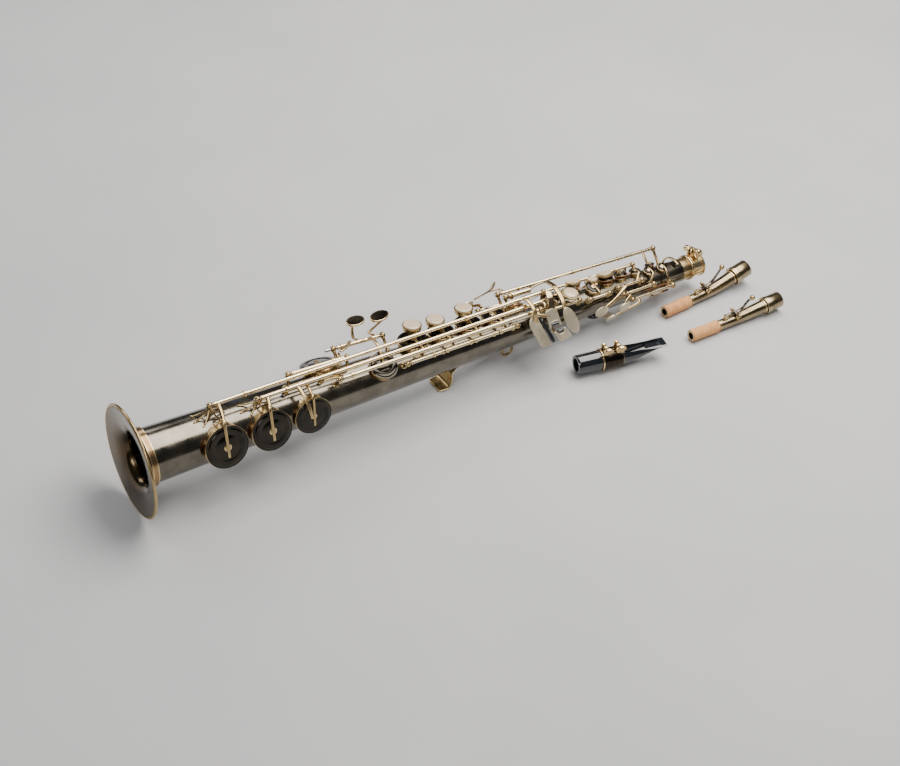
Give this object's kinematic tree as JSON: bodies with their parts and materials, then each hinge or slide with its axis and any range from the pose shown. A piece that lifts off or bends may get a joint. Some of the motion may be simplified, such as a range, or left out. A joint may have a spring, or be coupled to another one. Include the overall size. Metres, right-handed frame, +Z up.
{
  "type": "soprano saxophone",
  "caption": "Straight soprano saxophone with full keywork, lying beside its two detachable necks and a mouthpiece with ligature.",
  "frame": {"origin": "on the surface it lies on, under the middle of the straight body, 280 mm from the bell rim along the horn axis", "axes": "+X from the bell towards the neck receiver, +Z up, +Y away from the loose necks and mouthpiece"},
  "size_m": [0.6063, 0.1223, 0.0938],
  "materials": {
    "tube": "dark antiqued lacquer, polished",
    "gold": "brushed and lacquered",
    "brass": "bright",
    "pearl": "mother-of-pearl lustre",
    "black": "moulded",
    "cork": "sanded cork",
    "ebonite": "polished hard rubber"
  },
  "bodies": {
    "horn": {"body_tube": "tube", "bell": "tube", "receiver": "gold", "thumb_hook": "gold", "strap_ring": "gold", "thumb_rest": "black"},
    "low_bb_key": {"low_bb_key": "gold"},
    "low_b_key": {"low_b_key": "gold"},
    "low_cs_key": {"low_cs_key": "gold"},
    "low_c_key": {"low_c_key": "gold"},
    "low_eb_key": {"low_eb_key": "gold"},
    "d_key": {"d_key": "gold", "pearl_d": "pearl"},
    "e_key": {"e_key": "gold", "pearl_e": "pearl"},
    "f_key": {"f_key": "gold", "pearl_f": "pearl"},
    "fs_key": {"fs_key": "gold"},
    "gs_key": {"gs_key": "gold"},
    "g_key": {"g_key": "gold", "pearl_g": "pearl"},
    "bis_key": {"bis_key": "gold", "pearl_bis": "pearl"},
    "a_key": {"a_key": "gold", "pearl_a": "pearl"},
    "b_key": {"b_key": "gold", "pearl_b2": "pearl"},
    "c_key": {"c_key": "gold"},
    "palm_d_key": {"palm_d_key": "gold"},
    "palm_eb_key": {"palm_eb_key": "gold"},
    "palm_f_key": {"palm_f_key": "gold"},
    "side_e_key": {"side_e_key": "gold"},
    "side_c_key": {"side_c_key": "gold"},
    "side_bb_key": {"side_bb_key": "gold"},
    "high_fs_key": {"high_fs_key": "gold"},
    "low_cs_lever": {"low_cs_lever": "gold"},
    "low_c_lever": {"low_c_lever": "gold"},
    "gs_lever": {"gs_lever": "gold"},
    "octave_lever": {"octave_lever": "gold"},
    "octave_vent": {"octave_vent": "gold"},
    "roller_bb": {"roller_bb": "black"},
    "roller_b": {"roller_b": "black"},
    "roller_cs": {"roller_cs": "black"},
    "clamp_screw": {"clamp_screw": "gold"},
    "neck1": {"neck1_tube": "gold", "neck1_cork": "cork"},
    "neck1_octave_key": {"neck1_octave_key": "gold"},
    "neck2": {"neck2_tube": "gold", "neck2_cork": "cork"},
    "neck2_octave_key": {"neck2_octave_key": "gold"},
    "mouthpiece": {"mouthpiece": "ebonite"},
    "ligature": {"ligature": "gold"},
    "ligature_screw_1": {"ligature_screw_1": "brass"},
    "ligature_screw_2": {"ligature_screw_2": "brass"}
  },
  "joints": [
    {"name": "low_bb_key_hinge", "type": "hinge", "parent": "horn", "child": "low_bb_key", "pos_m": [-0.20965, -0.00431, 0.07667], "axis": [0.9991, 0, -0.0431], "range_deg": [0, 5], "stiffness_Nm_per_rad": 0.1, "springref_deg": -22.92},
    {"name": "low_b_key_hinge", "type": "hinge", "parent": "horn", "child": "low_b_key", "pos_m": [-0.17237, -0.01068, 0.07091], "axis": [0.9991, 0, -0.0431], "range_deg": [0, 5], "stiffness_Nm_per_rad": 0.1, "springref_deg": -22.92},
    {"name": "low_cs_key_hinge", "type": "hinge", "parent": "horn", "child": "low_cs_key", "pos_m": [-0.14505, -0.00532, 0.0662], "axis": [0.9983, 0.0032, -0.0581], "range_deg": [-6, 0], "stiffness_Nm_per_rad": 0.05, "springref_deg": 14.32},
    {"name": "low_c_key_hinge", "type": "hinge", "parent": "horn", "child": "low_c_key", "pos_m": [-0.1388, 0.00215, 0.07172], "axis": [0.9964, -0.0029, -0.085], "range_deg": [-11, 0], "stiffness_Nm_per_rad": 0.05, "springref_deg": 14.32},
    {"name": "low_eb_key_hinge", "type": "hinge", "parent": "horn", "child": "low_eb_key", "pos_m": [-0.06236, 0.02185, 0.05944], "axis": [0.9971, -0.0281, -0.0711], "range_deg": [-5, 0], "stiffness_Nm_per_rad": 0.05, "springref_deg": 14.32},
    {"name": "d_key_hinge", "type": "hinge", "parent": "horn", "child": "d_key", "pos_m": [-0.03996, -0.01745, 0.05438], "axis": [0.9983, 0.0128, -0.0561], "range_deg": [-6, 0], "stiffness_Nm_per_rad": 0.05, "springref_deg": 14.32},
    {"name": "e_key_hinge", "type": "hinge", "parent": "horn", "child": "e_key", "pos_m": [-0.00651, -0.01696, 0.05244], "axis": [0.9984, 0.0126, -0.0559], "range_deg": [-6, 0], "stiffness_Nm_per_rad": 0.05, "springref_deg": 14.32},
    {"name": "f_key_hinge", "type": "hinge", "parent": "horn", "child": "f_key", "pos_m": [0.02175, -0.01654, 0.05079], "axis": [0.9985, 0.011, -0.0543], "range_deg": [-6, 0], "stiffness_Nm_per_rad": 0.05, "springref_deg": 14.32},
    {"name": "fs_key_hinge", "type": "hinge", "parent": "horn", "child": "fs_key", "pos_m": [0.04771, -0.01619, 0.04931], "axis": [0.9983, 0.0134, -0.0567], "range_deg": [-6, 0], "stiffness_Nm_per_rad": 0.05, "springref_deg": 14.32},
    {"name": "gs_key_hinge", "type": "hinge", "parent": "horn", "child": "gs_key", "pos_m": [0.06574, 0.02045, 0.03348], "axis": [0.9991, 0, -0.0431], "range_deg": [-6, 0], "stiffness_Nm_per_rad": 0.05, "springref_deg": 14.32},
    {"name": "g_key_hinge", "type": "hinge", "parent": "horn", "child": "g_key", "pos_m": [0.1093, -0.01067, 0.04542], "axis": [0.9979, 0.0143, -0.0635], "range_deg": [-6, 0], "stiffness_Nm_per_rad": 0.05, "springref_deg": 14.32},
    {"name": "bis_key_hinge", "type": "hinge", "parent": "horn", "child": "bis_key", "pos_m": [0.15014, -0.01173, 0.041], "axis": [0.9986, 0.0091, -0.0528], "range_deg": [-4, 0], "stiffness_Nm_per_rad": 0.05, "springref_deg": 14.32},
    {"name": "a_key_hinge", "type": "hinge", "parent": "horn", "child": "a_key", "pos_m": [0.13396, 0.01586, 0.03719], "axis": [0.9987, -0.0111, -0.0488], "range_deg": [0, 6], "stiffness_Nm_per_rad": 0.05, "springref_deg": -14.32},
    {"name": "b_key_hinge", "type": "hinge", "parent": "horn", "child": "b_key", "pos_m": [0.16692, 0.01533, 0.0355], "axis": [0.9985, -0.0175, -0.052], "range_deg": [0, 6], "stiffness_Nm_per_rad": 0.05, "springref_deg": -14.32},
    {"name": "c_key_hinge", "type": "hinge", "parent": "horn", "child": "c_key", "pos_m": [0.1835, 0.01497, 0.0346], "axis": [0.9982, -0.0231, -0.0549], "range_deg": [0, 6], "stiffness_Nm_per_rad": 0.05, "springref_deg": -14.32},
    {"name": "palm_d_key_hinge", "type": "hinge", "parent": "horn", "child": "palm_d_key", "pos_m": [0.18216, -0.01023, 0.04061], "axis": [0.9982, 0.012, -0.059], "range_deg": [0, 6], "stiffness_Nm_per_rad": 0.05, "springref_deg": -14.32},
    {"name": "palm_eb_key_hinge", "type": "hinge", "parent": "horn", "child": "palm_eb_key", "pos_m": [0.18587, -0.01372, 0.03386], "axis": [0.9989, 0.0064, -0.0463], "range_deg": [0, 6], "stiffness_Nm_per_rad": 0.05, "springref_deg": -14.32},
    {"name": "palm_f_key_hinge", "type": "hinge", "parent": "horn", "child": "palm_f_key", "pos_m": [0.19552, -0.01558, 0.02563], "axis": [0.999, 0.01, -0.0426], "range_deg": [0, 6], "stiffness_Nm_per_rad": 0.05, "springref_deg": -14.32},
    {"name": "side_e_key_hinge", "type": "hinge", "parent": "horn", "child": "side_e_key", "pos_m": [0.07463, 0.02227, 0.05396], "axis": [0.9976, -0.0223, -0.0653], "range_deg": [-5, 0], "stiffness_Nm_per_rad": 0.05, "springref_deg": 14.32},
    {"name": "side_c_key_hinge", "type": "hinge", "parent": "horn", "child": "side_c_key", "pos_m": [0.07126, 0.02255, 0.02223], "axis": [0.9955, -0.0507, -0.0803], "range_deg": [-6, 0], "stiffness_Nm_per_rad": 0.05, "springref_deg": 14.32},
    {"name": "side_bb_key_hinge", "type": "hinge", "parent": "horn", "child": "side_bb_key", "pos_m": [0.05689, 0.01838, 0.01403], "axis": [0.9983, -0.0564, 0.0134], "range_deg": [-5, 0], "stiffness_Nm_per_rad": 0.05, "springref_deg": 14.32},
    {"name": "high_fs_key_hinge", "type": "hinge", "parent": "horn", "child": "high_fs_key", "pos_m": [0.05796, 0.02728, 0.03869], "axis": [0.9978, -0.0568, -0.0333], "range_deg": [0, 6], "stiffness_Nm_per_rad": 0.05, "springref_deg": -14.32},
    {"name": "low_cs_lever_hinge", "type": "hinge", "parent": "horn", "child": "low_cs_lever", "pos_m": [-0.10256, -0.01661, 0.06491], "axis": [0.9991, 0, -0.0431], "range_deg": [0, 5], "stiffness_Nm_per_rad": 0.05, "springref_deg": -14.32},
    {"name": "low_c_lever_hinge", "type": "hinge", "parent": "horn", "child": "low_c_lever", "pos_m": [-0.0867, 0.0227, 0.06134], "axis": [0.9966, -0.0326, -0.0757], "range_deg": [-8, 0], "stiffness_Nm_per_rad": 0.05, "springref_deg": 14.32},
    {"name": "gs_lever_hinge", "type": "hinge", "parent": "horn", "child": "gs_lever", "pos_m": [0.07624, 0.01271, 0.05656], "axis": [0.9977, -0.0121, -0.0668], "range_deg": [0, 4], "stiffness_Nm_per_rad": 0.05, "springref_deg": -14.32},
    {"name": "octave_lever_hinge", "type": "hinge", "parent": "horn", "child": "octave_lever", "pos_m": [0.16785, 0.00453, 0.01072], "axis": [0.9996, -0.0037, -0.0293], "range_deg": [-5, 0], "stiffness_Nm_per_rad": 0.05, "springref_deg": 14.32},
    {"name": "octave_vent_hinge", "type": "hinge", "parent": "horn", "child": "octave_vent", "pos_m": [0.2191, -0.01004, 0.01538], "axis": [-0.0305, 0.7071, -0.7064], "range_deg": [0, 8], "stiffness_Nm_per_rad": 0.03, "springref_deg": -14.32},
    {"name": "roller_bb_spin", "type": "hinge", "parent": "low_bb_key", "child": "roller_bb", "pos_m": [0.08869, -0.02988, 0.04343], "axis": [0.2124, -0.6233, -0.7526], "continuous": true},
    {"name": "roller_b_spin", "type": "hinge", "parent": "low_b_key", "child": "roller_b", "pos_m": [0.10103, -0.03188, 0.03939], "axis": [0.9994, 0.0344, -0.0021], "continuous": true},
    {"name": "roller_cs_spin", "type": "hinge", "parent": "low_cs_lever", "child": "roller_cs", "pos_m": [0.0974, -0.0277, 0.0457], "axis": [0.9991, 0, -0.0431], "continuous": true},
    {"name": "clamp_screw_turn", "type": "hinge", "parent": "horn", "child": "clamp_screw", "pos_m": [0.27439, 0.00377, 0.03713], "axis": [-0.0112, 0.9659, -0.2586], "range_deg": [-90, 270]},
    {"name": "neck1_lift", "type": "slide", "parent": "horn", "child": "neck1", "axis": [0, 0, 1], "range_m": [0, 0.12]},
    {"name": "neck1_octave_key_hinge", "type": "hinge", "parent": "neck1", "child": "neck1_octave_key", "pos_m": [0.27243, -0.02294, 0.014], "axis": [-0.0523, 0.9986, 0], "range_deg": [0, 7], "stiffness_Nm_per_rad": 0.01, "springref_deg": -17.19},
    {"name": "neck2_lift", "type": "slide", "parent": "horn", "child": "neck2", "axis": [0, 0, 1], "range_m": [0, 0.12]},
    {"name": "neck2_octave_key_hinge", "type": "hinge", "parent": "neck2", "child": "neck2_octave_key", "pos_m": [0.27147, -0.06621, 0.0134], "axis": [0.0349, 0.9994, 0], "range_deg": [0, 7], "stiffness_Nm_per_rad": 0.01, "springref_deg": -17.19},
    {"name": "mouthpiece_lift", "type": "slide", "parent": "horn", "child": "mouthpiece", "axis": [0, 0, 1], "range_m": [0, 0.12]},
    {"name": "ligature_slide", "type": "slide", "parent": "mouthpiece", "child": "ligature", "axis": [0.9763, -0.2164, 0], "range_m": [0, 0.06]},
    {"name": "ligature_screw_1_turn", "type": "hinge", "parent": "ligature", "child": "ligature_screw_1", "pos_m": [0.13338, -0.05413, 0.0236], "axis": [0.2164, 0.9763, 0], "range_deg": [-180, 180]},
    {"name": "ligature_screw_2_turn", "type": "hinge", "parent": "ligature", "child": "ligature_screw_2", "pos_m": [0.1451, -0.05672, 0.0236], "axis": [0.2164, 0.9763, 0], "range_deg": [-180, 180]}
  ],
  "couplings": [
    {"joint": "low_cs_key_hinge", "follows": "low_cs_lever_hinge", "ratio": -1.2},
    {"joint": "low_c_key_hinge", "follows": "low_c_lever_hinge", "ratio": 1.375},
    {"joint": "gs_key_hinge", "follows": "gs_lever_hinge", "ratio": -1.5},
    {"joint": "fs_key_hinge", "follows": "f_key_hinge", "ratio": 1},
    {"joint": "octave_vent_hinge", "follows": "octave_lever_hinge", "ratio": -1.6}
  ]
}
